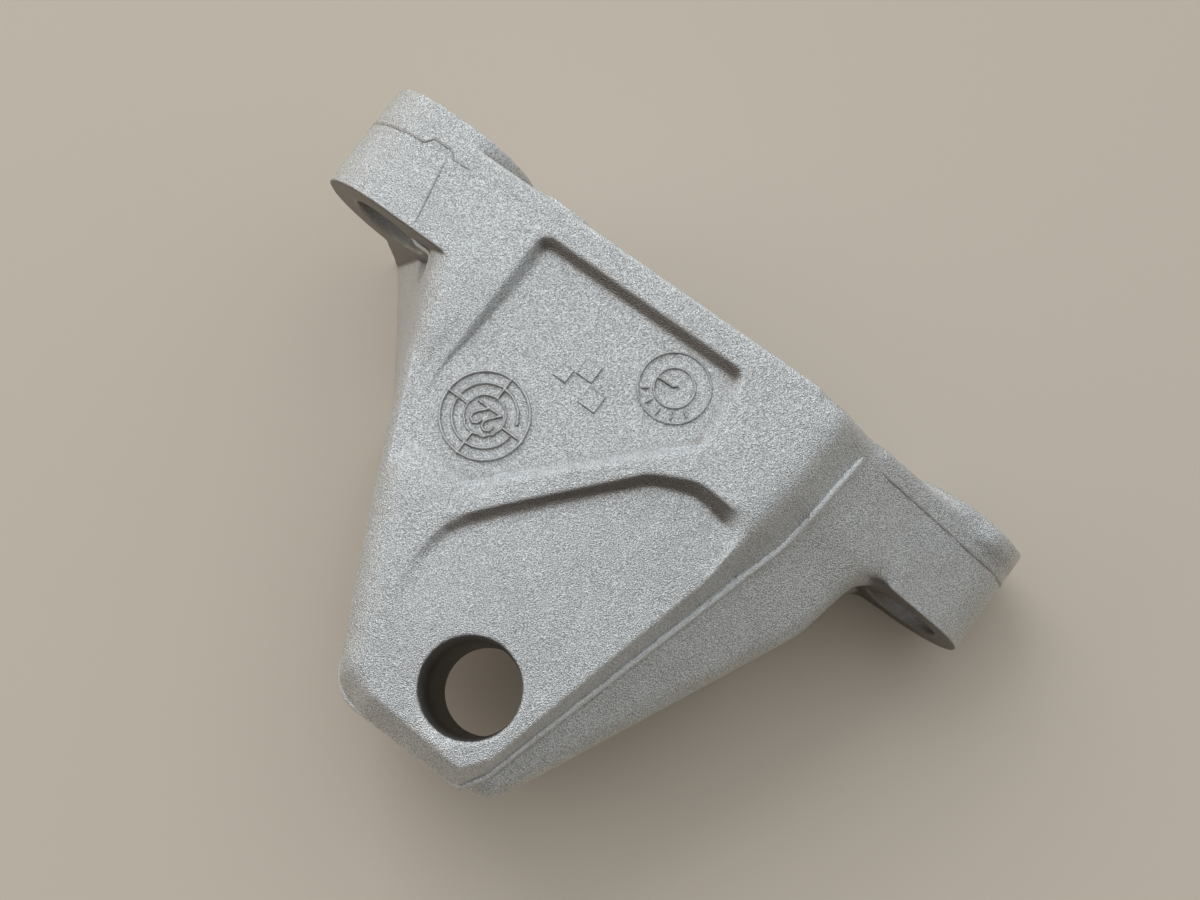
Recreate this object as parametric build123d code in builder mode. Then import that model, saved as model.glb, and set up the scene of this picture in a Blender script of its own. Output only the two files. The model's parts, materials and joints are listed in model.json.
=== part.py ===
# Fuel pump bracket: one die casting, bolted on by two lugs and carrying the pump at the bore in its tip.
# Frame: origin on the mounting plane, on the axis of the upper (left) bolt hole.
# +X runs along the mounting side towards the lower bolt hole, +Y points out of the mounting plane,
# +Z points up, along the tip bore and square to the plate face. Sizes in millimetres.
from build123d import *
import math
import os

os.makedirs("parts", exist_ok=True)

# Bolting pattern on the mounting side
bolt_span = 73.0
bolt_step_down = 12.0
bolt_hole_radius = 4.5
bolt_hole_break = 0.3

# Lugs: the upper one is flush with the plate face, the lower one with the base
upper_lug_radius = 8.5
lower_lug_radius = 7.5
lug_length = 13.3
neck_x = -2.4
lug_root_x = 0.8

# Raised pads that meet the engine
pad_height = 1.7
pad_root = 1.0
upper_pad_run = 3.0
lower_pad_radius = 8.4
lower_pad_shift = 1.0
spot_pad_radius = 5.6
spot_pad_x = 15.6
spot_pad_below_face = 11.0

# Recess in the plate face: its back corners and left corner, then the corners on the side of the tip bore,
# which stand off the bore axis and off the left wall
recess_left_x = 17.0
recess_right_x = 44.0
recess_back_y = -5.1
recess_bend_x = 16.8
recess_bend_y = -23.5
recess_foot_rise = 16.7
recess_foot_clear = 2.5
recess_foot_right = 12.9
recess_shoulder_rise = 34.4
recess_shoulder_right = 4.9

# Depths counted down from the plate face
ridge_depth = 5.0
nose_depth = 18.3
recess_depth = 1.0
step_slope = 3.2
step_wall = 2.2

# Tip bore, opening a little towards the plate face, and the metal around it
bore_x = 40.1
bore_y = -48.8
bore_radius = 5.0
bore_mouth_radius = 5.45
bore_mouth_depth = 6.0
tip_wall = 9.1
tip_left = 11.6
tip_right = 7.9
ramp_foot_y = -30.5

# The face around the tip bore slopes away from the plate face about this line, down to the right
step_fold_x = 26.9
step_fold_y = -39.5
step_fold_turn = 12.7

# Where the walls stand off the bolt axes, and how the body widens down to its base
upper_seat_clear = 7.2
lower_seat_clear = 6.3
knee_clear = 8.4
knee_y = -23.2
left_flare = 3.9
seat_flare = 10.0
base_root_run = 0.5
base_root_round = 0.3
left_bow_rise = 0.5
base_bow_fall = 1.5
head_room_radius = 6.5
head_room_length = 8.0

# Ridge on the right, and the bevels above it
ridge_knee_clear = 15.4
ridge_knee_y = -16.0
ridge_tip_right = 6.3
ridge_tip_cut = 2.6
ridge_end_run = 1.4
bevel_under_round = 0.5
side_bevel = 3.2
flange_end_run = 4.4
bevel_corner_run = 2.4
bevel_corner_rise = 1.3
bevel_knee_shift = 0.6
bevel_lead = 0.2
shoulder_fall = 0.52

# Mould details: split line of the lugs, drafts, flash left on the ridge
parting_y = -4.1
lug_draft = 0.8
cavity_draft = 1.5
relief_draft = 45.0
overlap = 4.4
flash_out = 0.3
flash_up = 0.4

# Rounding
cap_left_round = 4.1
corner_over_edge = 0.3
bevel_round = 0.8
far_edge_round = 0.8
shoulder_round = 3.0
wall_corner_round = 3.5
wall_knee_round = 12.0
upper_corner_round = 1.0
lower_corner_round = 3.0
relief_rim_round = 0.8
relief_floor_round = 0.5
recess_corner_round = 1.6
nose_round = 5.0

# Cavity behind the mounting side: two cells with a web between them
cavity_depth = 24.0
cavity_start_x = 22.5
cavity_end_clear = 13.0
web_thickness = 4.0
cavity_roof = 5.8
cavity_floor = 4.0
cavity_corner_run = 8.0
cavity_corner_fall = 5.9
hollow_round = 2.5

# Casting marks raised on the recess floor
mark_height = 0.2
mark_line = 0.3
mark_turn = 36.4
cast_dial_left = 16.2
cast_dial_rise = 23.8
cast_dial_radius = 5.0
cast_dial_ring_radius = 3.7
cast_dial_hub_radius = 2.4
date_dial_x = 38.5
date_dial_y = -10.7
date_dial_radius = 4.05
date_dial_hub_radius = 2.35
date_pointer_length = 2.6
stamp_squares = [(27.9, -16.3, 1.8), (30.0, -14.5, 2.2), (32.1, -16.9, 2.3)]

# Levels, planes and corners that follow from the sizes above
face_z = upper_lug_radius
lower_bolt_z = -bolt_step_down
base_z = lower_bolt_z - lower_lug_radius
corner_round = cap_left_round + corner_over_edge
ridge_z = face_z - ridge_depth
nose_z = face_z - nose_depth
recess_z = face_z - recess_depth
seat_y = -lug_length
back_y = -pad_height
tip_y = bore_y - tip_wall
left_start = (upper_seat_clear, seat_y)
left_end = (bore_x - tip_left, tip_y)
wall_knee = (bolt_span - knee_clear, knee_y)
wall_seat = (bolt_span - lower_seat_clear, seat_y)
ridge_knee = (bolt_span - ridge_knee_clear, ridge_knee_y)
ridge_tip = (bore_x + ridge_tip_right, tip_y + ridge_tip_cut)
ridge_end = (ridge_tip[0] - ridge_end_run, tip_y)
cap_far_x = ridge_knee[0] + overlap
far_x = bolt_span + 20
far_y = tip_y - 12


def level(z):
    return Plane.XY.offset(z)


def across(y):
    # Sketch x is X, sketch y is Z, and a positive amount extrudes towards the tip
    return Plane.XZ.offset(-y)


def bowed(start, end, rise):
    # Middle of a line between two points, shifted towards the upper lug by the rise
    run_x = end[0] - start[0]
    run_y = end[1] - start[1]
    run = math.hypot(run_x, run_y)
    return ((start[0] + end[0]) / 2 + rise * run_y / run, (start[1] + end[1]) / 2 - rise * run_x / run)


def left_wall_x(y):
    return left_start[0] + (left_end[0] - left_start[0]) * (y - seat_y) / (tip_y - seat_y)


def at(shapes, point, reach=0.1):
    return [s for s in shapes if (s.center() - Vector(*point)).length < reach]


# Outline of the lugs and the flange between them, seen from the tip
slope = math.atan(shoulder_fall)
lower_touch = (bolt_span + lower_lug_radius * math.sin(slope),
               lower_bolt_z + lower_lug_radius * math.cos(slope))
slope_start = (lower_touch[0] - (ridge_z - lower_touch[1]) / shoulder_fall, ridge_z)
neck = (neck_x, -math.sqrt(upper_lug_radius**2 - neck_x**2))

with BuildSketch() as flange_outline:
    with BuildLine():
        Polyline((0, face_z), (slope_start[0] - flange_end_run, face_z), slope_start, lower_touch)
        ThreePointArc(lower_touch, (bolt_span + lower_lug_radius, lower_bolt_z), (bolt_span, base_z))
        Polyline((bolt_span, base_z), (neck_x - lug_root_x, base_z), neck)
        ThreePointArc(neck, (-upper_lug_radius, 0), (0, face_z))
    make_face()

# Flange with both lugs, drafted both ways from the parting plane
with BuildPart() as flange:
    with BuildSketch(across(parting_y)) as split_outline:
        add(flange_outline.sketch)
    extrude(split_outline.sketch, amount=parting_y - seat_y, taper=lug_draft)
    extrude(split_outline.sketch, amount=back_y - parting_y, dir=(0, 1, 0), taper=lug_draft)

# Cap above the ridge: a prism with its left edge rounded, then bevelled at the tip and on the right
with BuildPart() as cap:
    with BuildSketch(level(ridge_z)) as cap_base:
        with BuildLine():
            ThreePointArc(left_start, bowed(left_start, left_end, left_bow_rise), left_end)
            Polyline(left_end, (cap_far_x, tip_y), (cap_far_x, back_y), (lug_root_x, back_y),
                     (lug_root_x, seat_y), left_start)
        make_face()
        fillet(at(cap_base.vertices(), (*left_end, 0)), corner_round)
        fillet(at(cap_base.vertices(), (*left_start, 0)), upper_corner_round)
    extrude(amount=ridge_depth)
    top_edges = cap.faces().sort_by(Axis.Z)[-1].edges()
    fillet([e for e in top_edges if e.center().X < ridge_knee[0] and e.center().Y < seat_y - 1.5],
           cap_left_round)
    with BuildSketch(level(ridge_z)):
        with BuildLine():
            Polyline((-far_x, far_y), (-far_x, tip_y), ridge_end, ridge_tip, ridge_knee,
                     (ridge_knee[0] + ridge_end_run, overlap), (far_x, overlap), (far_x, far_y), close=True)
        make_face()
    bevel_knee_x = ridge_knee[0] - side_bevel
    bevel_tip_y = tip_y + cap_left_round - bevel_under_round
    with BuildSketch(level(face_z)):
        with BuildLine():
            Polyline((-far_x, far_y), (-far_x, bevel_tip_y), (ridge_tip[0] - bevel_corner_run, bevel_tip_y),
                     (ridge_tip[0] - bevel_lead, bevel_tip_y + bevel_corner_rise),
                     (bevel_knee_x, ridge_knee_y - bevel_knee_shift),
                     (bevel_knee_x + bevel_knee_shift, overlap), (far_x, overlap), (far_x, far_y), close=True)
        make_face()
    loft(ruled=True, mode=Mode.SUBTRACT)
    top_edges = cap.faces().sort_by(Axis.Z)[-1].edges()
    fillet([e for e in top_edges if e.center().X > left_end[0]
            and bevel_tip_y + 0.1 < e.center().Y < back_y - 0.8], bevel_round)
    top_edges = cap.faces().sort_by(Axis.Z)[-1].edges()
    fillet([e for e in top_edges if e.center().Y > back_y - 1.5 and e.length > 20], far_edge_round)

# Wall below the ridge on the right, under a sloping shoulder that rises to the ridge
run_x = ridge_tip[0] - ridge_knee[0]
run_y = ridge_tip[1] - ridge_knee[1]
run = math.hypot(run_x, run_y)
shoulder = Plane(origin=(*ridge_knee, ridge_z), x_dir=(run_x / run, run_y / run, 0),
                 z_dir=(-run_y / run * math.sin(slope), run_x / run * math.sin(slope), math.cos(slope)))
wall_tip = (bore_x + tip_right, tip_y)
lug_root_end = wall_seat[0] + overlap

with BuildPart() as wall_side:
    with BuildSketch(level(face_z)) as wall_outline:
        with BuildLine():
            Polyline((bore_x, tip_y), wall_tip, wall_knee, wall_seat, (lug_root_end, seat_y),
                     (lug_root_end, back_y), (bore_x, back_y), close=True)
        make_face()
        fillet(at(wall_outline.vertices(), (*wall_tip, 0)), wall_corner_round)
        fillet(at(wall_outline.vertices(), (*wall_knee, 0)), wall_knee_round)
        fillet(at(wall_outline.vertices(), (*wall_seat, 0)), lower_corner_round)
    extrude(amount=base_z - face_z)
    with BuildSketch(shoulder):
        Rectangle(3 * far_x, 3 * far_x)
    extrude(amount=far_x, mode=Mode.SUBTRACT)
    slopes = [f for f in wall_side.faces() if abs(f.normal_at().Z - math.cos(slope)) < 0.02]
    fillet([e for f in slopes for e in f.edges()
            if e.center().Y < seat_y - 0.2 and e.center().X > bore_x + 1], shoulder_round)
    split(bisect_by=level(ridge_z), keep=Keep.BOTTOM)

# Body below the ridge on the left, flaring out to the base
base_left_start = (upper_seat_clear - seat_flare, seat_y)
base_left_end = (left_end[0] - left_flare, tip_y)
base_root_x = base_left_start[0] - base_root_run
body_end_x = bore_x + overlap

with BuildPart() as body:
    with BuildSketch(level(base_z)) as body_base:
        with BuildLine():
            base_bow = bowed(base_left_start, base_left_end, -base_bow_fall)
            ThreePointArc(base_left_start, base_bow, base_left_end)
            Polyline(base_left_end, (body_end_x, tip_y), (body_end_x, back_y), (base_root_x, back_y),
                     (base_root_x, seat_y), base_left_start)
        make_face()
        fillet(at(body_base.vertices(), (*base_left_start, 0)), base_root_round)
    with BuildSketch(level(ridge_z)) as body_top:
        with BuildLine():
            ThreePointArc(left_start, bowed(left_start, left_end, left_bow_rise), left_end)
            Polyline(left_end, (body_end_x, tip_y), (body_end_x, back_y), (lug_root_x, back_y),
                     (lug_root_x, seat_y), left_start)
        make_face()
        fillet(at(body_top.vertices(), (*left_start, 0)), upper_corner_round)
    loft(ruled=True)
    tip_corner = ((left_end[0] + base_left_end[0]) / 2, tip_y, (ridge_z + base_z) / 2)
    fillet(at(body.edges(), tip_corner, 1.0), corner_round)

# What the step takes off the plate face: walls at 45 degrees, and a floor that slopes down from the fold
fold_line = (-math.sin(math.radians(step_fold_turn)), math.cos(math.radians(step_fold_turn)), 0)
floor_up = Vector(0, 0, 1).rotate(Axis((0, 0, 0), fold_line), step_slope)
step_floor = Plane(origin=(step_fold_x, step_fold_y, face_z), x_dir=fold_line, z_dir=floor_up)
with BuildPart() as step:
    with BuildSketch(Plane((bore_x, bore_y, face_z))) as step_outline:
        with BuildLine():
            Polyline((13.6, 29.8), (12.5, 31.0), (6.5, 31.4), (1.7, 29.0), (-7.5, 18.7), (-12.5, 12.8),
                     (-17.0, 8.0), (-17.0, -13.2), (21.9, -13.2), (21.9, 22.8), (14.5, 23.8), close=True)
        make_face()
        fillet(at(step_outline.vertices(), (1.7, 29.0, 0)), 6.0)
        fillet(at(step_outline.vertices(), (6.5, 31.4, 0)), 5.0)
    extrude(amount=-step_wall, taper=relief_draft)
    split(bisect_by=step_floor, keep=Keep.TOP)

# Flash line left by the mould along the ridge
with BuildPart() as flash:
    with BuildSketch(level(ridge_z)) as ridge_line:
        with BuildLine():
            ThreePointArc(left_start, bowed(left_start, left_end, left_bow_rise), left_end)
            Polyline(left_end, ridge_end, ridge_tip, ridge_knee, (ridge_knee[0], parting_y),
                     (lug_root_x, parting_y), (lug_root_x, seat_y), left_start)
        make_face()
        fillet(at(ridge_line.vertices(), (*left_end, 0)), corner_round)
        fillet(at(ridge_line.vertices(), (*left_start, 0)), upper_corner_round)
        offset(amount=flash_out)
    extrude(amount=flash_up)

with BuildPart() as pump_bracket:
    add(flange.part)
    add(wall_side.part)
    add(body.part)
    add(cap.part)
    add(flash.part)

    # Pads on the mounting plane
    with BuildSketch(across(0)):
        with Locations((upper_pad_run / 2, 0)):
            SlotCenterToCenter(upper_pad_run, 2 * upper_lug_radius)
        with Locations((bolt_span - lower_pad_shift, base_z + lower_pad_radius)):
            Circle(lower_pad_radius)
        with Locations((spot_pad_x, face_z - spot_pad_below_face)):
            Circle(spot_pad_radius)
    extrude(amount=pad_height + pad_root)

    # Step down to the face around the tip bore
    add(step.part, mode=Mode.SUBTRACT)

    # Shallow recess in the plate face
    recess_foot_y = bore_y + recess_foot_rise
    with BuildSketch(level(face_z)) as recess_outline:
        with BuildLine():
            Polyline((recess_left_x, recess_back_y), (recess_right_x, recess_back_y),
                     (bore_x + recess_shoulder_right, bore_y + recess_shoulder_rise),
                     (bore_x - recess_foot_right, recess_foot_y),
                     (left_wall_x(recess_foot_y) + recess_foot_clear, recess_foot_y),
                     (recess_bend_x, recess_bend_y), close=True)
        make_face()
        fillet(recess_outline.vertices(), recess_corner_round)
    extrude(amount=-recess_depth, taper=relief_draft, mode=Mode.SUBTRACT)
    recess_edges = pump_bracket.edges(Select.LAST)
    fillet([e for e in recess_edges if abs(e.center().Z - face_z) < 0.01
            and (e.geom_type != GeomType.CIRCLE or e.length < 5)], relief_rim_round)
    recess_floor = [f for f in pump_bracket.faces().filter_by(Axis.Z) if abs(f.center().Z - recess_z) < 0.01]
    fillet([e for f in recess_floor for e in f.edges()], relief_floor_round)

    # Casting marks on the recess floor: a casting dial, a date dial with its pointer, three stamp squares
    with BuildSketch(level(recess_z)):
        with Locations((bore_x - cast_dial_left, bore_y + cast_dial_rise)):
            for radius in (cast_dial_radius, cast_dial_ring_radius, cast_dial_hub_radius):
                Circle(radius)
                Circle(radius - mark_line, mode=Mode.SUBTRACT)
            spoke_middle = (cast_dial_radius + cast_dial_hub_radius - mark_line) / 2
            with PolarLocations(spoke_middle, 4, start_angle=mark_turn):
                Rectangle(cast_dial_radius - cast_dial_hub_radius, mark_line)
        with Locations((date_dial_x, date_dial_y)):
            for radius in (date_dial_radius, date_dial_hub_radius):
                Circle(radius)
                Circle(radius - mark_line, mode=Mode.SUBTRACT)
            Rectangle(date_pointer_length, mark_line, rotation=mark_turn + 45)
        for square_x, square_y, side in stamp_squares:
            with Locations((square_x, square_y)):
                Rectangle(side, side, rotation=mark_turn)
    extrude(amount=mark_height)

    # Nose raised at the tip, with a ramp down to the base
    ramp_top_y = ramp_foot_y - (nose_z - base_z)
    with BuildSketch(Plane.YZ.offset(-far_x)) as nose_outline:
        with BuildLine():
            Polyline((far_y, base_z - overlap), (ramp_foot_y + overlap, base_z - overlap),
                     (ramp_top_y, nose_z), (far_y, nose_z), close=True)
        make_face()
        fillet(at(nose_outline.vertices(), (ramp_top_y, nose_z, 0)), nose_round)
    extrude(amount=3 * far_x, mode=Mode.SUBTRACT)

    # Cells behind the mounting side, with the web between them
    roof_z = face_z - cavity_roof
    floor_top_z = base_z + cavity_floor
    cavity_end_x = bolt_span - cavity_end_clear
    web_left_x = (cavity_start_x + cavity_end_x - web_thickness) / 2
    web_right_x = web_left_x + web_thickness
    with BuildSketch(across(back_y)) as cells:
        with BuildLine():
            Polyline((cavity_start_x, floor_top_z), (web_left_x, floor_top_z), (web_left_x, roof_z),
                     (cavity_start_x, roof_z), close=True)
        make_face()
        with BuildLine():
            Polyline((web_right_x, floor_top_z), (cavity_end_x, floor_top_z),
                     (cavity_end_x, roof_z - cavity_corner_fall), (cavity_end_x - cavity_corner_run, roof_z),
                     (web_right_x, roof_z), close=True)
        make_face()
        fillet(cells.vertices(), hollow_round)
    extrude(amount=cavity_depth, taper=cavity_draft, mode=Mode.SUBTRACT)

    # Bolt holes, with a light break at the seats of the bolt heads
    with BuildSketch(across(0)):
        with Locations((0, 0), (bolt_span, lower_bolt_z)):
            Circle(bolt_hole_radius)
    extrude(amount=lug_length, mode=Mode.SUBTRACT)
    with BuildSketch(across(seat_y)):
        with Locations((0, 0), (bolt_span, lower_bolt_z)):
            Circle(bolt_hole_radius + bolt_hole_break)
    extrude(amount=2 * bolt_hole_break, taper=45, dir=(0, 1, 0), mode=Mode.SUBTRACT)

    # Room for the bolt heads in front of the seats
    with BuildSketch(across(seat_y)):
        with Locations((0, 0), (bolt_span, lower_bolt_z)):
            Circle(head_room_radius)
    extrude(amount=head_room_length, mode=Mode.SUBTRACT)

    # Tip bore
    with BuildSketch(Plane((bore_x, bore_y, face_z))):
        Circle(bore_radius)
    extrude(amount=-nose_depth, mode=Mode.SUBTRACT)
    with BuildSketch(Plane((bore_x, bore_y, face_z))):
        Circle(bore_mouth_radius)
    with BuildSketch(Plane((bore_x, bore_y, face_z - bore_mouth_depth))):
        Circle(bore_radius)
    loft(mode=Mode.SUBTRACT)

pump_bracket.part.label = "pump_bracket"
export_step(pump_bracket.part, "parts/pump_bracket.step")
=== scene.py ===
import json
import math
import bpy
import numpy as np
from mathutils import Matrix, Vector
from mathutils.bvhtree import BVHTree


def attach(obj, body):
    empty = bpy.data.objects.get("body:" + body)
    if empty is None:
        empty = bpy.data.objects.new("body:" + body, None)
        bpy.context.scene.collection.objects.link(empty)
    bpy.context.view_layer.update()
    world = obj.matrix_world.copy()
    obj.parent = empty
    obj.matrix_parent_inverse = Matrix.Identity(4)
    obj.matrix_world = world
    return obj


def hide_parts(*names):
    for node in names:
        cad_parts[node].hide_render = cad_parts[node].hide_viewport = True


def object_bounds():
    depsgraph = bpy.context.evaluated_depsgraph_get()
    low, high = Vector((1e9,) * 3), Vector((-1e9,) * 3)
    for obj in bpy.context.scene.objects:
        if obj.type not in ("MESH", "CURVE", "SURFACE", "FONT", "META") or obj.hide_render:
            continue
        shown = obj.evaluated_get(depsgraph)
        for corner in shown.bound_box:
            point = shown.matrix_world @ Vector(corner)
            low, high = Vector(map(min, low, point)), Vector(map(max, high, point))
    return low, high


# Fuel pump bracket, shot-blasted die casting. Sizes here are in millimetres, in the frame of the CAD model:
# the origin is on the axis of the upper bolt hole at the mounting plane, +X runs along the mounting side
# towards the lower bolt hole, +Z is up. Blender gets them in metres. A pair of numbers is a range over which
# something fades in or out.

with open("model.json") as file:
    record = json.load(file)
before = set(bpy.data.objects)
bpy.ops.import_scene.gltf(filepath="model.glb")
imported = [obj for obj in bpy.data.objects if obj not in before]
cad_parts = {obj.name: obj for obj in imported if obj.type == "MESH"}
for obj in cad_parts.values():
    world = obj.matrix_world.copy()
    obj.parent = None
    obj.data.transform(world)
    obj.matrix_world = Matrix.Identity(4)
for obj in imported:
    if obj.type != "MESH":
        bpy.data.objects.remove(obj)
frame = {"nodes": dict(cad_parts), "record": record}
cad_low, cad_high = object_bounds()
MM = 0.001
casting_node = frame["nodes"]["pump_bracket"]
mounts = {m["name"]: Vector(m["pos_m"]) / MM for m in frame["record"]["mounts"]}

# Levels and places of the casting
face_z = cad_high.z / MM
ridge_z = face_z - 5.0
recess_z = face_z - 1.0
above_face = face_z + 3
upper_bolt = mounts["bolt_hole_upper"]
lower_bolt = mounts["bolt_hole_lower"]
bore = mounts["tip_bore"]
bolt_hole_radius = 4.5
bore_radius = 5.0
bore_mouth_radius = 5.45

# Skin of the casting
voxel = 0.24
skin_triangles = 190000
relax_passes = 2
relax_shrink = 0.6
relax_regrow = 0.31

# How far a vertex stands out of its neighbours where the skin counts as an edge, or lies under them in a hollow
edge_bend = (0.006, 0.03)
edge_bend_passes = 3
hollow_bend = (0.004, 0.014)
hollow_bend_passes = 6

# Marks raised on the recess floor, on inserts whose foot is in the casting
mark_rise = 0.36
mark_half_width = 0.27
mark_grid = 0.085
mark_sink = 0.03
mark_foot = 0.6
mark_margin = 0.25
mark_inset = 0.15
mark_slope = (0.45, 0.85)

cast_dial = (bore.x - 16.2, bore.y + 23.8)
cast_dial_radius = 5.0
cast_dial_ring_radius = 3.7
cast_dial_ring_arcs = ((20, 170), (186, 352))
cast_dial_hub_radius = 2.4
cast_dial_hub_half_width = 0.24
cast_dial_spokes = 4
cast_dial_numerals = (1.55, 0.05)
cast_dial_numeral_foot = 0.95
numeral_two = [(0.05, 1.6), (0.2, 2.05), (0.65, 2.3), (1.15, 2.05), (1.25, 1.55), (1.0, 1.1), (0.05, 0.0),
               (1.4, 0.0)]

date_dial = (38.5, -10.7)
date_dial_radius = 4.05
date_dial_rim_rise = 0.28
date_dial_hub_radius = 2.35
date_dial_hub_rise = 0.3
date_dial_half_width = 0.22
date_dial_ticks = [215, 243, 271, 299, 327]
date_dial_tick_ends = (2.8, 3.4)
date_dial_tick_rise = 0.26
pointer_turn = 182
pointer_reach = 2.0
pointer_tail = (-0.2, 0)
pointer_barb = (0.1, 0.3)

stamp_middle = (30.1, -15.8)
stamp_reach = 4.4
stamp_squares = [(27.9, -16.3, 1.8), (30.0, -14.5, 2.2), (32.1, -16.9, 2.3)]
stamp_border_half_width = 0.22
stamp_border_rise = 0.24
stamp_floor_rise = 0.17

# The plain marks of the CAD solid: their rise, and the areas that they stand in
cad_mark_rise = 0.2
cad_mark_areas = ((cast_dial, 5.3), (date_dial, 4.4), (stamp_middle, stamp_reach))

# Flash along the ridge, from the lower lug round the tip to the upper seat
flash_out = 0.3
flash_out_beside = 0.14
flash_above_ridge = 0.26
flash_above_lug = 0.05
flash_half_height = 0.3
flash_half_width = 0.4
flash_step = 0.25
# Share of painted highlight against painted shade on the flash
flash_bright_share = 1.0
flash_corners = [(58.9, -4.3), (58.0, -14.0), (57.5, -17.2), (46.4, -55.3), (45.0, -57.9), (28.5, -57.9),
                 (18.35, -35.4), (7.2, -13.3), (4.0, -13.3)]
flash_rounds = [0, 6.0, 8.0, 1.2, 1.0, 4.4, 30.0, 1.0, 0]
flash_at_tip = (55.5, 57.0)
flash_at_lug = (-17.0, -14.0)

# Split line of the mould halves: its outline seen from the mounting side, made of an arc round each lug
# (radius, first and last angle) and the points between them, and its course, the y that it has at each x
split_half_width = 0.2
split_half_height = 0.13
# Share of painted highlight against painted shade on the split lines
split_bright_share = 0.2
split_sink = 0.05
split_step = 0.3
split_upper_arc = (11, 215, 95)
split_between = [(0, 11), (56, 11), (62, 6)]
split_lower_arc = (10, 62, -60)
split_arc_points = 40
split_course = [(-11.0, -5.2), (0.2, -4.5), (0.9, -3.5), (3.2, -3.5), (3.9, -4.3), (20.0, -3.4), (56.0, -3.4),
                (60.0, -4.1), (78.0, -4.2)]
split_thin_range = (7.0, 60.0, 3.0)

# Line left by the slide on the upper lug
slide_course = [(3.3, -4.6), (5.0, -13.0)]
slide_across = (0.94, 0.35, 0.0)
slide_half_width = 0.13
slide_half_height = 0.06

# Points round a bead, how many rows its ends take to narrow, and the size of the last one in rows
bead_sides = 10
bead_end_rows = 4
bead_end_size = 0.4

# Level from which the forms of the plate below move the skin
plate_top = (6.2, 7.0)

# The wall of the step, from the ridge to where it fades out beside the tip bore, and how much deeper the
# blasted surface lies at its foot
step_wall = [(53.4, -18.8), (46.9, -17.9), (43.6, -18.9), (41.1, -21.4), (35.7, -27.4), (32.1, -31.4),
             (29.3, -34.6), (27.8, -37.0), (27.4, -39.1), (27.3, -42.0), (27.8, -45.3), (28.6, -48.5)]
step_extra = [0, 0, 0.05, 0.15, 0.35, 0.5, 0.6, 0.58, 0.48, 0.3, 0.13, 0]
step_dip = {"start": 0.9, "foot": 1.6, "rise": 1.3, "reach": 9.0, "power": 2}

# The left wall of the recess, which fades out towards the tip as the plate falls away beside it
recess_wall = [(16.9, -12.0), (16.8, -18.9), (16.8, -23.5), (17.4, -27.5), (18.2, -31.6), (25.0, -32.0)]
recess_fall = [0, 0.35, 0.75, 0.97, 0.8, 0.2]
recess_dip = {"start": -4.0, "foot": 1.2, "rise": 0.5, "reach": 4.5, "power": 1.5}

# The rounded edge at the tip stands out further than the plain bevel of the CAD solid, but not in the bore
tip_edge_shift = 0.85
tip_edge_bulge = 0.35
tip_edge_range = (32.0, 43.8, 2.6)
tip_edge_depth = (52.5, 54.3)
tip_edge_level = (ridge_z + 0.3, ridge_z + 1.6)
tip_edge_facing = (0.05, 0.3)
tip_edge_from_bore = (bore_mouth_radius + 0.3, 6.6)

# Slope of the lower lug's top, from the plate's shoulder down to the lug's end
lug_top_x = 76.46
lug_top_z = -5.345
lug_top_fall = 0.52
lug_top_start = (57.5, 61.0)
lug_top_end = (73.0, lug_top_x)
lug_top_side = (-13.0, -11.0)
lug_top_below = ridge_z + 1

# Blends softened further: the windows in x and y (from, to, fade), the level where it starts, and the passes
soft_tip_corner = ((26.0, 31.0, 1.5), (-60.0, -52.0, 2.0), (2.0, 3.2), 50)
soft_lug_root = ((57.5, 68.0, 2.0), (-17.5, -7.0, 3.0), (-8.0, -6.0), 90)
soft_lug_top = ((62.0, 78.0, 3.0), (-12.0, 1.0, 1.0), (-10.0, -8.0), 60)
soft_bevel_edge = ((52.5, 60.0, 1.5), (-19.0, 0.0, 3.0), (2.0, 3.2), 120)

# Seats beside the lugs and the walls that face the tip, both darkened as painted shade
seat_y = -13.3
seat_reach = (0.3, 0.7)
seat_facing = (0.5, 0.8)
upper_seat_end = (11.0, 13.0)
lower_seat_start = (60.0, 62.0)
wall_shade_turn = 0.35
wall_shade_facing = (0.12, 0.5)
wall_shade_reach = (1.6, 2.6)
wall_shade_end = (50.5, 52.5)
recess_back_wall = ((17.2, -5.3), (44.0, -5.3))

# Looks of the casting: stops of a ramp are a place and a colour, layers are a mask, its strength and a colour
metallic = 0.92
grain_tones = [(0.38, (0.44, 0.45, 0.46)), (0.60, (0.87, 0.89, 0.90))]
cloud_tones = [(0.36, (0.93, 0.92, 0.91)), (0.66, (1.0, 1.0, 1.0))]
# Painted shade in the hollows and on the walls that face the tip, and wear with a painted highlight on the edges
wear_shade_and_highlight_layers = [("hollow", 0.6, (0.20, 0.16, 0.13)), ("painted_wall_shade", 0.75, (0.20, 0.155, 0.12)),
               ("edge", 0.65, (0.90, 0.91, 0.91))]
nick_stops = [(0.26, 1.0), (0.30, 0.0)]
nick_strength = 0.75
nick_tone = (0.16, 0.14, 0.12)
# Painted shade on the seats and in the bore, and in the bolt holes a machined finish darkened with painted shade
finish_and_shade_layers = [("painted_seat_shade", 0.85, (0.15, 0.13, 0.11)), ("machined_and_shaded", 1.0, (0.42, 0.40, 0.38)),
                 ("bore", 1.0, (0.07, 0.06, 0.055))]
rough_stops = [(0.3, 0.38), (0.7, 0.44)]
rough_layers = [("edge", 0.5, 0.28), ("machined_and_shaded", 1.0, 0.24), ("bore", 1.0, 0.36)]
fine_grain_share = 0.35
grain_depth = 0.24

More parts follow.
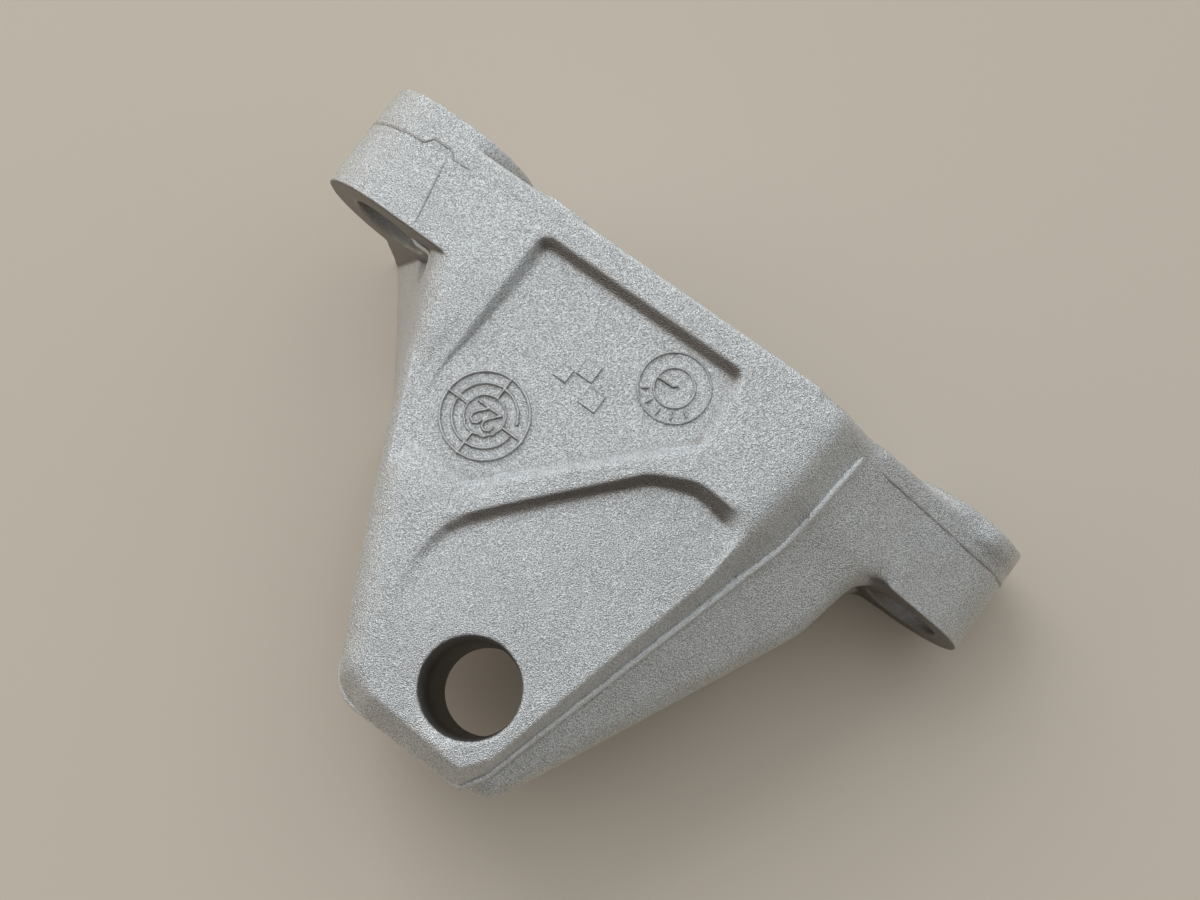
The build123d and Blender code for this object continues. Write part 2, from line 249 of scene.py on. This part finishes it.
# Floor, sky and lamps. A lamp is a name, a side in metres, watts, a colour, and its place from the part's middle
floor_half = 3.0
floor_colour = (0.66, 0.58, 0.49)
sky_towards = Vector((-0.30, 0.75, 0.60)).normalized()
sky_stops = [(0.20, (0.05, 0.042, 0.034)), (0.40, (0.10, 0.088, 0.07)), (0.56, (0.42, 0.41, 0.39)),
             (0.76, (0.62, 0.65, 0.66)), (0.97, (1.0, 1.04, 1.06))]
sky_strength = 0.92
lamps = [("window", 0.8, 4.4, (0.96, 0.98, 1.0), Vector((-0.88, 0.48, 0.80))),
         ("side_glow", 0.6, 1.3, (1.0, 0.96, 0.91), Vector((-0.90, -0.30, 0.32)))]

# Camera solved from the photograph: where it stands, and its directions
camera_place = Vector((57.58, -40.40, 163.73))
camera_right = Vector((0.8043, 0.5931, -0.0363))
camera_up = Vector((-0.5786, 0.7956, 0.1797))
camera_back = Vector((0.1354, -0.1235, 0.9831))
camera_sensor = 36.0
camera_lens = 45.0


def mesh_points(mesh):
    points = np.empty(len(mesh.vertices) * 3, np.float64)
    mesh.vertices.foreach_get("co", points)
    return points.reshape(-1, 3)


def mesh_normals(mesh):
    normals = np.empty(len(mesh.vertices) * 3, np.float64)
    mesh.vertices.foreach_get("normal", normals)
    return normals.reshape(-1, 3)


def set_points(mesh, points):
    mesh.vertices.foreach_set("co", points.astype(np.float32).ravel())
    mesh.update()


def edge_pairs(mesh):
    pairs = np.empty(len(mesh.edges) * 2, np.int64)
    mesh.edges.foreach_get("vertices", pairs)
    return pairs.reshape(-1, 2)


def store(mesh, name, values):
    attribute = mesh.attributes.new(name, "FLOAT", "POINT")
    attribute.data.foreach_set("value", np.asarray(values, np.float32))


def new_object(name, data):
    obj = bpy.data.objects.new(name, data)
    bpy.context.scene.collection.objects.link(obj)
    return obj


def joined(name, parts):
    """One smooth object from several pairs of points and faces, whose end caps stay flat."""
    points = []
    faces = []
    for new_points, new_faces in parts:
        start = sum(len(p) for p in points)
        points.append(new_points)
        faces += [tuple(i + start for i in face) for face in new_faces]
    mesh = bpy.data.meshes.new(name)
    mesh.from_pydata((np.vstack(points) * MM).tolist(), [], faces)
    mesh.polygons.foreach_set("use_smooth", [len(face) <= 4 for face in faces])
    mesh.update()
    return new_object(name, mesh)


def bake_modifiers(obj):
    """Puts the mesh that the object's modifiers make in place of its own."""
    depsgraph = bpy.context.evaluated_depsgraph_get()
    obj.data = bpy.data.meshes.new_from_object(obj.evaluated_get(depsgraph), depsgraph=depsgraph)
    obj.modifiers.clear()


def ramp_up(values, low, high):
    return np.clip((values - low) / (high - low), 0, 1)


def bump_window(values, low, high, fade):
    """One between low and high, falling smoothly to zero over the fade outside them."""
    t = np.clip(np.minimum(values - low + fade, high + fade - values) / fade, 0, 1)
    return t * t * (3 - 2 * t)


def ripple(x, y, size, seed):
    """Smooth bumps of about the given size, between -1 and 1."""
    total = 0
    for k in range(5):
        turn = seed + 2.4 * k
        wave = 2 * math.pi / (size * (0.75 + 0.17 * k))
        total = total + np.sin((x * math.cos(turn) + y * math.sin(turn)) * wave + 1.7 * seed * (k + 1))
    return total / 5


def beside_line(x, y, start, end):
    """Distance of each point from the line between two points, and how far along it the nearest place is."""
    run = (end[0] - start[0], end[1] - start[1])
    along = ((x - start[0]) * run[0] + (y - start[1]) * run[1]) / (run[0] ** 2 + run[1] ** 2)
    along = np.clip(along, 0, 1)
    return np.hypot(x - start[0] - along * run[0], y - start[1] - along * run[1]), along


def from_lines(x, y, corners):
    """Distance of each point from a line with corners."""
    return np.min([beside_line(x, y, start, end)[0] for start, end in zip(corners, corners[1:])], axis=0)


def from_path(x, y, path, levels):
    """Distance from a path, positive on its left, and the level that holds at the nearest place on it."""
    best = np.full(len(x), np.inf)
    side = np.ones(len(x))
    level = np.zeros(len(x))
    for start, end, before, after in zip(path, path[1:], levels, levels[1:]):
        away, along = beside_line(x, y, start, end)
        turn = (end[0] - start[0]) * (y - start[1]) - (end[1] - start[1]) * (x - start[0])
        nearer = away < best
        best = np.where(nearer, away, best)
        side = np.where(nearer, np.sign(turn), side)
        level = np.where(nearer, before + along * (after - before), level)
    return best * side, level


def from_arc(x, y, radius, start, end):
    """Distance of each point from an arc about the origin, whose ends are given in degrees."""
    angle = np.degrees(np.arctan2(y, x)) % 360
    inside = (angle - start) % 360 <= (end - start) % 360
    tips = [np.hypot(x - radius * math.cos(math.radians(a)), y - radius * math.sin(math.radians(a)))
            for a in (start, end)]
    return np.where(inside, np.abs(np.hypot(x, y) - radius), np.minimum(*tips))


def from_spoke(x, y, turn, inner, outer):
    """Distance of each point from a line that leads away from the origin, at a turn in degrees."""
    angle = math.radians(turn)
    return from_lines(x, y, [(r * math.cos(angle), r * math.sin(angle)) for r in (inner, outer)])


def neighbour_mean(values, pairs, count):
    """Mean of the values at each vertex's neighbours."""
    flat = np.asarray(values, np.float64).reshape(len(count), -1)
    total = np.empty_like(flat)
    for c in range(flat.shape[1]):
        total[:, c] = np.bincount(pairs[:, 0], weights=flat[pairs[:, 1], c], minlength=len(flat))
        total[:, c] += np.bincount(pairs[:, 1], weights=flat[pairs[:, 0], c], minlength=len(flat))
    return (total / count[:, None]).reshape(np.shape(values))


def smoothed(values, pairs, count, passes):
    for _ in range(passes):
        values = 0.4 * values + 0.6 * neighbour_mean(values, pairs, count)
    return values


def relaxed(points, pairs, count):
    """Takes the steps of the voxels off the skin, and lets it grow back to its size."""
    for _ in range(relax_passes):
        points = points + relax_shrink * (neighbour_mean(points, pairs, count) - points)
        points = points - relax_regrow * (neighbour_mean(points, pairs, count) - points)
    return points


def soften(points, pairs, window_x, window_y, level, passes):
    """Relaxes the points in a window towards their neighbours, and leaves the others where they are."""
    x, y, z = points.T
    weight = bump_window(x, *window_x) * bump_window(y, *window_y) * ramp_up(z, *level)
    near = pairs[(weight[pairs[:, 0]] > 0) | (weight[pairs[:, 1]] > 0)]
    index, compact = np.unique(near, return_inverse=True)
    compact = compact.reshape(-1, 2)
    local = points[index]
    strength = 0.6 * weight[index][:, None]
    count = np.bincount(compact.ravel())
    for _ in range(passes):
        local = local + strength * (neighbour_mean(local, compact, count) - local)
    points[index] = local


def dip_beside(away, depth, start, foot, rise, reach, power):
    """How much deeper a surface lies beside a wall: fully from the start to the foot, less as far as the reach."""
    near = bump_window(away, start, foot, rise)
    far = (1 - ramp_up(away, foot, reach)) ** power
    return depth * np.where(away < foot, near, far)


def flatten_marks(mesh):
    """Takes the plain marks of the CAD solid off the recess floor, where finer ones stand instead."""
    points = mesh_points(mesh)
    x, y, z = (points / MM).T
    near = np.zeros(len(points), bool)
    for (middle_x, middle_y), reach in cad_mark_areas:
        near |= np.hypot(x - middle_x, y - middle_y) < reach
    raised = np.abs(z - recess_z - cad_mark_rise) < 0.1 * cad_mark_rise
    points[raised & near, 2] = recess_z * MM
    set_points(mesh, points)


def shape_plate(points):
    """Deepens the foot of the step, and lets the left wall of the recess fade out."""
    x, y, z = points.T.copy()
    on_plate = ramp_up(z, *plate_top)
    away, extra = from_path(x, y, step_wall, step_extra)
    points[:, 2] -= dip_beside(away, extra, **step_dip) * on_plate
    away, fall = from_path(x, y, recess_wall, recess_fall)
    points[:, 2] -= np.minimum(dip_beside(-away, fall, **recess_dip) * on_plate, np.maximum(z - recess_z, 0))


def shape_tip_edge(points, z, normals):
    """Moves the edge at the tip outwards; z is the height before the plate was shaped."""
    x, y = points[:, :2].T
    at_tip = bump_window(x, *tip_edge_range) * ramp_up(-y, *tip_edge_depth) * ramp_up(z, *tip_edge_level)
    from_bore = np.hypot(x - bore.x, y - bore.y)
    at_tip *= np.maximum(ramp_up(-normals[:, 1], *tip_edge_facing), ramp_up(from_bore, *tip_edge_from_bore))
    bulge = np.sin(math.pi * np.clip((z - ridge_z) / (face_z - ridge_z), 0, 1))
    points[:, 1] -= at_tip * (tip_edge_shift + tip_edge_bulge * bulge)


def shape_lug_top(points):
    """Brings what stands proud of the lower lug's top down to its slope."""
    x, y, z = points.T
    slope = lug_top_z + (lug_top_x - x) * lug_top_fall
    proud = np.maximum(z - slope, 0) * (z < lug_top_below)
    points[:, 2] -= (proud * ramp_up(x, *lug_top_start) * (1 - ramp_up(x, *lug_top_end))
                     * ramp_up(y, *lug_top_side))


def shape_skin(points, normals, pairs):
    """Forms that the blasted casting has and that fade out too softly for the CAD solid's plain faces."""
    points = points / MM
    z = points[:, 2].copy()
    shape_plate(points)
    shape_tip_edge(points, z, normals)
    shape_lug_top(points)
    for window in (soft_tip_corner, soft_lug_root, soft_lug_top, soft_bevel_edge):
        soften(points, pairs, *window)
    return points * MM


def mark_bends(mesh, points, pairs, count):
    """Marks the edges, which are worn bright and carry a painted highlight, and the hollows, which carry painted
    shade.
    """
    bend = ((points - neighbour_mean(points, pairs, count)) * mesh_normals(mesh)).sum(1) / MM
    bend = smoothed(bend, pairs, count, edge_bend_passes)
    store(mesh, "edge", ramp_up(bend, *edge_bend))
    bend = smoothed(bend, pairs, count, hollow_bend_passes)
    store(mesh, "hollow", ramp_up(-bend, *hollow_bend))


def mark_finishes_and_shade(mesh):
    """Marks the bores, which are finished differently and carry painted shade, the seats, darkened as painted
    shade, and the walls that face the tip, darkened as painted shade.
    """
    x, y, z = (mesh_points(mesh) / MM).T
    normals = mesh_normals(mesh)
    from_bore = np.hypot(x - bore.x, y - bore.y)
    # The bore: darkened as painted shade, and with a roughness of its own
    store(mesh, "bore", 1 - ramp_up(from_bore, bore_radius + 0.1, bore_mouth_radius + 0.15))
    # The bolt holes: a machined finish, darkened with painted shade
    from_bolt = np.min([np.hypot(x - bolt.x, z - bolt.z) for bolt in (upper_bolt, lower_bolt)], axis=0)
    store(mesh, "machined_and_shaded", 1 - ramp_up(from_bolt, bolt_hole_radius + 0.1, bolt_hole_radius + 0.5))
    # Painted shade on the seats beside the lugs
    at_seat = (1 - ramp_up(np.abs(y - seat_y), *seat_reach)) * ramp_up(-normals[:, 1], *seat_facing)
    store(mesh, "painted_seat_shade", at_seat * np.maximum(1 - ramp_up(x, *upper_seat_end), ramp_up(x, *lower_seat_start)))
    # Painted shade on the walls of the step and of the recess's back wall that face the tip
    facing_tip = ramp_up(wall_shade_turn * normals[:, 0] - normals[:, 1], *wall_shade_facing)
    near_wall = np.minimum(from_lines(x, y, step_wall), from_lines(x, y, recess_back_wall))
    painted_wall_shade = facing_tip * ramp_up(z, ridge_z, ridge_z + 1) * (1 - ramp_up(near_wall, *wall_shade_reach))
    store(mesh, "painted_wall_shade", painted_wall_shade * (1 - ramp_up(x, *wall_shade_end)))


def make_skin():
    """The casting with every edge softened as blasting leaves it: remeshed evenly, relaxed, then thinned."""
    skin = new_object("pump_bracket_casting", casting_node.data.copy())
    flatten_marks(skin.data)
    remesh = skin.modifiers.new("even", "REMESH")
    remesh.mode = "VOXEL"
    remesh.voxel_size = voxel * MM
    remesh.use_smooth_shade = True
    bake_modifiers(skin)
    mesh = skin.data
    pairs = edge_pairs(mesh)
    count = np.maximum(np.bincount(pairs.ravel(), minlength=len(mesh.vertices)), 1)
    points = relaxed(mesh_points(mesh), pairs, count)
    set_points(mesh, points)
    points = shape_skin(points, mesh_normals(mesh), pairs)
    set_points(mesh, points)
    mark_bends(mesh, points, pairs, count)
    mesh.calc_loop_triangles()
    thin = skin.modifiers.new("thin", "DECIMATE")
    thin.ratio = min(1.0, skin_triangles / len(mesh.loop_triangles))
    thin.use_collapse_triangulate = True
    bake_modifiers(skin)
    skin.data.polygons.foreach_set("use_smooth", [True] * len(skin.data.polygons))
    skin.data.name = "pump_bracket_casting"
    mark_finishes_and_shade(skin.data)
    return skin


def ridge(distance, half_width=mark_half_width, rise=mark_rise):
    """Height of a rounded ridge at a distance from its middle line."""
    return rise * 0.5 * (1 + np.cos(math.pi * np.clip(distance / half_width, 0, 1)))


def from_numeral_two(x, y, left, foot):
    """Distance from the strokes of a 2, read with the bracket turned half round."""
    return from_lines(x, y, [(left - stroke_x, foot - stroke_y) for stroke_x, stroke_y in numeral_two])


def cast_dial_height(x, y):
    """A ring in a rim, four spokes, two numerals and a hub, all a little ragged."""
    ragged = 0.07 * ripple(x, y, 0.9, 2.0)
    ring_radius = cast_dial_ring_radius - mark_inset
    lines = [from_arc(x, y, cast_dial_radius - mark_inset, 0, 359.9),
             from_arc(x, y, ring_radius + ragged, *cast_dial_ring_arcs[0]),
             from_arc(x, y, ring_radius, *cast_dial_ring_arcs[1])]
    lines += [from_spoke(x, y, 360 * k / cast_dial_spokes, cast_dial_hub_radius, cast_dial_radius)
              for k in range(cast_dial_spokes)]
    lines += [from_numeral_two(x, y, left, cast_dial_numeral_foot) for left in cast_dial_numerals]
    hub = np.abs(np.hypot(x, y) - cast_dial_hub_radius + mark_inset + 1.6 * ragged)
    height = np.maximum(ridge(np.min(lines, axis=0)), ridge(hub, cast_dial_hub_half_width))
    return height * (1 + 0.22 * ripple(x, y, 1.3, 4.0))


def date_dial_height(x, y):
    """A rim with ticks, and a hub with a pointer."""
    rim = from_arc(x, y, date_dial_radius - mark_inset, 0, 359.9)
    hub = np.abs(np.hypot(x, y) - date_dial_hub_radius + mark_inset)
    turn = math.radians(pointer_turn)
    pointer_tip = (pointer_reach * math.cos(turn), pointer_reach * math.sin(turn))
    pointer = from_lines(x, y, [pointer_tip, pointer_tail, pointer_barb])
    ticks = np.min([from_spoke(x, y, tick, *date_dial_tick_ends) for tick in date_dial_ticks], axis=0)
    height = np.max([ridge(rim, date_dial_half_width, date_dial_rim_rise),
                     ridge(np.minimum(hub, pointer), date_dial_half_width, date_dial_hub_rise),
                     ridge(ticks, date_dial_half_width, date_dial_tick_rise)], axis=0)
    return height * (1 + 0.25 * ripple(x, y, 2.2, 1.0))


def stamp_height(x, y):
    """Three plain squares, each with a raised border round a lower floor."""
    height = np.zeros_like(x)
    for square_x, square_y, side in stamp_squares:
        from_middle = np.maximum(np.abs(x + stamp_middle[0] - square_x), np.abs(y + stamp_middle[1] - square_y))
        outside = from_middle - side / 2 + mark_inset
        border = ridge(np.abs(outside), stamp_border_half_width, stamp_border_rise)
        height = np.max([height, border, stamp_floor_rise * (outside < 0)], axis=0)
    return height * (1 + 0.15 * ripple(x, y, 1.5, 3.0))


def ring_faces(rows, around):
    """Faces between rows of points that each go once around."""
    return [(i * around + k, i * around + (k + 1) % around, (i + 1) * around + (k + 1) % around,
             (i + 1) * around + k) for i in range(rows - 1) for k in range(around)]


def mark_insert(middle, reach, height_at):
    """Points and faces of a round insert whose top carries raised marks and whose foot is in the casting."""
    rings = int(reach / mark_grid)
    around = int(2 * math.pi * reach / mark_grid)
    centre = rings * around
    radius, turn = np.meshgrid(np.linspace(reach / rings, reach, rings),
                               np.linspace(0, 2 * math.pi, around, endpoint=False), indexing="ij")
    x = np.append((radius * np.cos(turn)).ravel(), 0.0)
    y = np.append((radius * np.sin(turn)).ravel(), 0.0)
    z = recess_z - mark_sink + height_at(x, y)
    z[centre - around:centre] = recess_z - mark_foot
    faces = [(a, d, c, b) for a, b, c, d in ring_faces(rings, around)]
    faces += [(centre, k, (k + 1) % around) for k in range(around)]
    faces.append(tuple(reversed(range(centre - around, centre))))
    return np.column_stack((x + middle[0], y + middle[1], z)), faces


def make_marks():
    marks = joined("casting_marks", [
        mark_insert(cast_dial, cast_dial_radius + mark_margin, cast_dial_height),
        mark_insert(date_dial, date_dial_radius + mark_margin, date_dial_height),
        mark_insert(stamp_middle, stamp_reach, stamp_height)])
    # Painted shadow on the sloping sides of the marks, and a painted highlight on their tops
    store(marks.data, "hollow", 1 - ramp_up(mesh_normals(marks.data)[:, 2], *mark_slope))
    rise = mesh_points(marks.data)[:, 2] / MM - recess_z
    store(marks.data, "edge", ramp_up(rise, 0.6 * mark_rise, mark_rise))
    return marks


def unit(vectors):
    return vectors / np.linalg.norm(vectors, axis=1)[:, None]


def repeated(vector, count):
    return np.tile(vector, (count, 1))


def rounded(corners, rounds):
    """Points along a line whose corners are rounded."""
    corners = [np.array(c, float) for c in corners]
    line = [corners[0]]
    for before, corner, after, round_off in zip(corners, corners[1:], corners[2:], rounds[1:]):
        to_before, to_after = unit(np.array([before - corner, after - corner]))
        half = math.acos(np.clip(to_before @ to_after, -1, 1)) / 2
        cut = min(round_off / math.tan(half), 0.45 * np.linalg.norm(before - corner),
                  0.45 * np.linalg.norm(after - corner))
        start, end = corner + cut * to_before, corner + cut * to_after
        line += [(1 - s) ** 2 * start + 2 * s * (1 - s) * corner + s ** 2 * end for s in np.linspace(0, 1, 9)]
    return line + [corners[-1]]


def paced(line, step):
    """Points at every step along a line."""
    line = np.array(line)
    length = np.concatenate(([0], np.cumsum(np.linalg.norm(np.diff(line, axis=0), axis=1))))
    at = np.arange(0, length[-1], step)
    return np.column_stack([np.interp(at, length, line[:, c]) for c in range(line.shape[1])])


def bead(path, side, up, half_width, half_height):
    """Points and faces of a closed bead along a path, an ellipse across that is fixed by two directions."""
    rows = len(path)
    from_end = np.minimum(np.arange(rows), np.arange(rows)[::-1])
    taper = np.minimum(1, (from_end + bead_end_size) / bead_end_rows)
    turn = np.linspace(0, 2 * math.pi, bead_sides, endpoint=False)[:, None]
    across = (side * (half_width * taper)[:, None])[:, None]
    upwards = (up * (half_height * taper)[:, None])[:, None]
    points = path[:, None] + np.cos(turn) * across + np.sin(turn) * upwards
    faces = ring_faces(rows, bead_sides)
    faces.append(tuple(reversed(range(bead_sides))))
    faces.append(tuple(range((rows - 1) * bead_sides, rows * bead_sides)))
    return points.reshape(-1, 3), faces


def bead_object(name, beads, bright_share):
    """Beads as one object with a painted highlight and painted shade: the greater the share, the brighter and the
    less dark.
    """
    obj = joined(name, beads)
    store(obj.data, "edge", np.full(len(obj.data.vertices), bright_share))
    store(obj.data, "hollow", np.full(len(obj.data.vertices), 1 - bright_share))
    return obj


def on_surface(tree, starts, directions):
    """Where rays from the starts meet the skin, with the skin's normals there."""
    places = []
    normals = []
    for start, direction in zip(starts, directions):
        hit, normal, _, _ = tree.ray_cast(Vector(start) * MM, Vector(direction))
        if hit is not None:
            places.append(np.array(hit) / MM)
            normals.append(np.array(normal))
    return np.array(places), np.array(normals)


def on_top(tree, line):
    """Where the skin lies under a line in plan, with its normals there."""
    starts = np.column_stack((line, np.full(len(line), above_face)))
    return on_surface(tree, starts, repeated((0.0, 0.0, -1.0), len(line)))


def make_flash(tree):
    """The thin line of flash along the ridge, a little uneven."""
    line = paced(rounded(flash_corners, flash_rounds), flash_step)
    along = unit(np.gradient(line, axis=0))
    out = np.column_stack((-along[:, 1], along[:, 0], np.zeros(len(line))))
    place = np.arange(len(line)) * flash_step
    uneven = ripple(place, 0 * place, 5.0, 2.0)
    fine = ripple(place, 0 * place, 1.1, 5.0)
    width = flash_half_width * (1 + 0.08 * uneven + 0.03 * fine)
    height = flash_half_height * (1 + 0.08 * uneven + 0.04 * fine)
    beside_tip = 1 - ramp_up(-line[:, 1], *flash_at_tip)
    outer = flash_out + flash_out_beside * beside_tip - 0.02 * (1 + uneven)
    level = np.full(len(line), ridge_z + flash_above_ridge)
    at_lug = ramp_up(line[:, 1], *flash_at_lug) * (line[:, 0] > bore.x)
    level += at_lug * (on_top(tree, line)[0][:, 2] + flash_above_lug - level)
    path = np.column_stack((line, level)) + out * (outer - width)[:, None]
    up = repeated((0.0, 0.0, 1.0), len(line))
    return bead_object("flash_line", [bead(path, out, up, width, height)], flash_bright_share)


def round_bolt(bolt, radius, start, end):
    """Points round a bolt hole, seen from the mounting side."""
    return [(bolt.x + radius * math.cos(a), bolt.z + radius * math.sin(a))
            for a in np.radians(np.linspace(start, end, split_arc_points))]


def split_bead(tree):
    """The split line of the two mould halves over both lugs and the plate's edge."""
    outline = paced(round_bolt(upper_bolt, *split_upper_arc) + split_between
                    + round_bolt(lower_bolt, *split_lower_arc), split_step)
    along = unit(np.gradient(outline, axis=0))
    inward = np.column_stack((along[:, 1], np.zeros(len(outline)), -along[:, 0]))
    y = np.interp(outline[:, 0], *zip(*split_course)) + 0.05 * ripple(outline[:, 0], outline[:, 1], 3.0, 1.0)
    places, normals = on_surface(tree, np.column_stack((outline[:, 0], y, outline[:, 1])), inward)
    uneven = 1 + 0.6 * ripple(places[:, 0], places[:, 2], 4.0, 3.0)
    uneven *= 1 - 0.65 * bump_window(places[:, 0], *split_thin_range)
    side = repeated((0.0, 1.0, 0.0), len(places))
    return bead(places - split_sink * normals, side, normals,
                split_half_width * uneven, split_half_height * uneven)


def slide_bead(tree):
    """The line that the mould's slide left on the upper lug."""
    places, normals = on_top(tree, paced(slide_course, split_step))
    even = np.ones(len(places))
    return bead(places, repeated(slide_across, len(places)), normals,
                slide_half_width * even, slide_half_height * even)


def make_split_lines(tree):
    return bead_object("split_lines", [split_bead(tree), slide_bead(tree)], split_bright_share)


def as_colour(value):
    """Red, green, blue and alpha of a colour, or of a grey given as one number."""
    return (*value, 1) if isinstance(value, tuple) else (value, value, value, 1)


def set_stops(node, stops):
    """Fills a colour ramp with places and colours."""
    while len(node.color_ramp.elements) < len(stops):
        node.color_ramp.elements.new(0.5)
    for element, (position, colour) in zip(node.color_ramp.elements, stops):
        element.position = position
        element.color = as_colour(colour)


class Nodes:
    """The nodes of a material, made and linked by short calls that give an output socket back."""

    def __init__(self, tree):
        self.tree = tree
        self.where = tree.nodes.new("ShaderNodeTexCoord").outputs["Object"]

    def feed(self, socket, value):
        """Links another node's output to a socket, or sets the socket's own number or colour."""
        if isinstance(value, bpy.types.NodeSocket):
            self.tree.links.new(value, socket)
        else:
            socket.default_value = as_colour(value) if socket.type == "RGBA" else value

    def noise(self, scale, detail, roughness):
        node = self.tree.nodes.new("ShaderNodeTexNoise")
        self.feed(node.inputs["Scale"], scale)
        self.feed(node.inputs["Detail"], detail)
        self.feed(node.inputs["Roughness"], roughness)
        self.feed(node.inputs["Vector"], self.where)
        return node.outputs["Fac"]

    def mask(self, name):
        node = self.tree.nodes.new("ShaderNodeAttribute")
        node.attribute_name = name
        return node.outputs["Fac"]

    def times(self, a, b):
        node = self.tree.nodes.new("ShaderNodeMath")
        node.operation = "MULTIPLY"
        node.use_clamp = True
        self.feed(node.inputs[0], a)
        self.feed(node.inputs[1], b)
        return node.outputs[0]

    def ramp(self, source, stops):
        node = self.tree.nodes.new("ShaderNodeValToRGB")
        self.feed(node.inputs["Fac"], source)
        set_stops(node, stops)
        return node.outputs["Color"]

    def mixed(self, factor, a, b, blend="MIX"):
        """A mix of two colours. Its sockets go by number, because several have the same name."""
        node = self.tree.nodes.new("ShaderNodeMix")
        node.data_type = "RGBA"
        node.blend_type = blend
        self.feed(node.inputs[0], factor)
        self.feed(node.inputs[6], a)
        self.feed(node.inputs[7], b)
        return node.outputs[2]

    def covered(self, under, layers):
        """A colour with others laid over it where their masks say."""
        for name, strength, over in layers:
            under = self.mixed(self.times(self.mask(name), strength), under, over)
        return under


def cast_tone(nodes, grain, clouds):
    """Cloudy grain with painted shade in the hollows and on the walls that face the tip, worn edges with a painted
    highlight that are nicked, and the finished places, where the seats, bolt holes and bore carry painted shade.
    """
    tone = nodes.mixed(1.0, nodes.ramp(grain, grain_tones), nodes.ramp(clouds, cloud_tones), "MULTIPLY")
    tone = nodes.covered(tone, wear_shade_and_highlight_layers)
    pits = nodes.noise(scale=900, detail=2.0, roughness=0.6)
    nicks = nodes.times(nodes.mask("edge"), nodes.ramp(pits, nick_stops))
    tone = nodes.mixed(nodes.times(nicks, nick_strength), tone, nick_tone)
    return nodes.covered(tone, finish_and_shade_layers)


def cast_material():
    """Blasted aluminium: a fine grain, cloudy tone, worn edges with a painted highlight, a bore darkened as
    painted shade, machined bolt holes darkened with painted shade.
    """
    material = bpy.data.materials.new("cast_aluminium")
    material.use_nodes = True
    nodes = Nodes(material.node_tree)
    shader = nodes.tree.nodes["Principled BSDF"]
    shader.inputs["Metallic"].default_value = metallic

    # At this scale the plate and the recess floor both cut the noise half way between two of its layers,
    # so that they show the same grain
    grain = nodes.noise(scale=7000, detail=1.5, roughness=0.55)
    fine_grain = nodes.noise(scale=9000, detail=1.0, roughness=0.5)
    clouds = nodes.noise(scale=150, detail=3.0, roughness=0.6)
    nodes.feed(shader.inputs["Base Color"], cast_tone(nodes, grain, clouds))
    nodes.feed(shader.inputs["Roughness"], nodes.covered(nodes.ramp(clouds, rough_stops), rough_layers))

    bump = nodes.tree.nodes.new("ShaderNodeBump")
    bump.inputs["Strength"].default_value = 1.0
    bump.inputs["Distance"].default_value = grain_depth * MM
    nodes.feed(bump.inputs["Height"], nodes.mixed(fine_grain_share, grain, fine_grain))
    nodes.feed(shader.inputs["Normal"], bump.outputs["Normal"])
    return material


def make_floor():
    corners = [(x * floor_half, y * floor_half, cad_low.z) for x, y in ((-1, -1), (1, -1), (1, 1), (-1, 1))]
    mesh = bpy.data.meshes.new("floor")
    mesh.from_pydata(corners, [], [(0, 1, 2, 3)])
    floor = new_object("floor", mesh)
    material = bpy.data.materials.new("floor")
    material.use_nodes = True
    shader = material.node_tree.nodes["Principled BSDF"]
    shader.inputs["Base Color"].default_value = as_colour(floor_colour)
    shader.inputs["Roughness"].default_value = 0.85
    shader.inputs["Specular IOR Level"].default_value = 0.2
    mesh.materials.append(material)


def make_sky():
    """A plain studio: pale behind the mounting side, and a dim room towards the tip."""
    world = bpy.data.worlds.new("studio")
    bpy.context.scene.world = world
    world.use_nodes = True
    tree = world.node_tree
    where = tree.nodes.new("ShaderNodeTexCoord")
    towards = tree.nodes.new("ShaderNodeVectorMath")
    towards.operation = "DOT_PRODUCT"
    towards.inputs[1].default_value = sky_towards
    shifted = tree.nodes.new("ShaderNodeMapRange")
    shifted.inputs["From Min"].default_value = -1.0
    ramp = tree.nodes.new("ShaderNodeValToRGB")
    set_stops(ramp, sky_stops)
    background = tree.nodes["Background"]
    background.inputs["Strength"].default_value = sky_strength
    tree.links.new(where.outputs["Generated"], towards.inputs[0])
    tree.links.new(towards.outputs["Value"], shifted.inputs["Value"])
    tree.links.new(shifted.outputs["Result"], ramp.inputs["Fac"])
    tree.links.new(ramp.outputs["Color"], background.inputs["Color"])


def add_lamp(name, size, energy, colour, offset):
    """A square soft lamp that faces the middle of the part."""
    data = bpy.data.lights.new(name, "AREA")
    data.size = size
    data.energy = energy
    data.color = colour
    lamp = new_object(name, data)
    lamp.location = (cad_low + cad_high) / 2 + offset
    lamp.rotation_euler = (-offset).to_track_quat("-Z", "Y").to_euler()


def make_camera():
    data = bpy.data.cameras.new("camera")
    data.sensor_width = camera_sensor
    data.lens = camera_lens
    data.clip_start = 0.005
    data.clip_end = 10.0
    camera = new_object("camera", data)
    place = Matrix((camera_right, camera_up, camera_back)).transposed().to_4x4()
    place.translation = camera_place * MM
    camera.matrix_world = place
    bpy.context.scene.camera = camera


skin = make_skin()
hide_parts("pump_bracket")
skin_tree = BVHTree.FromObject(skin, bpy.context.evaluated_depsgraph_get())
material = cast_material()
for piece in (skin, make_marks(), make_flash(skin_tree), make_split_lines(skin_tree)):
    piece.data.materials.clear()
    piece.data.materials.append(material)
    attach(piece, "root")

make_floor()
make_sky()
for lamp in lamps:
    add_lamp(*lamp)
make_camera()
bpy.context.scene.view_settings.view_transform = "Standard"
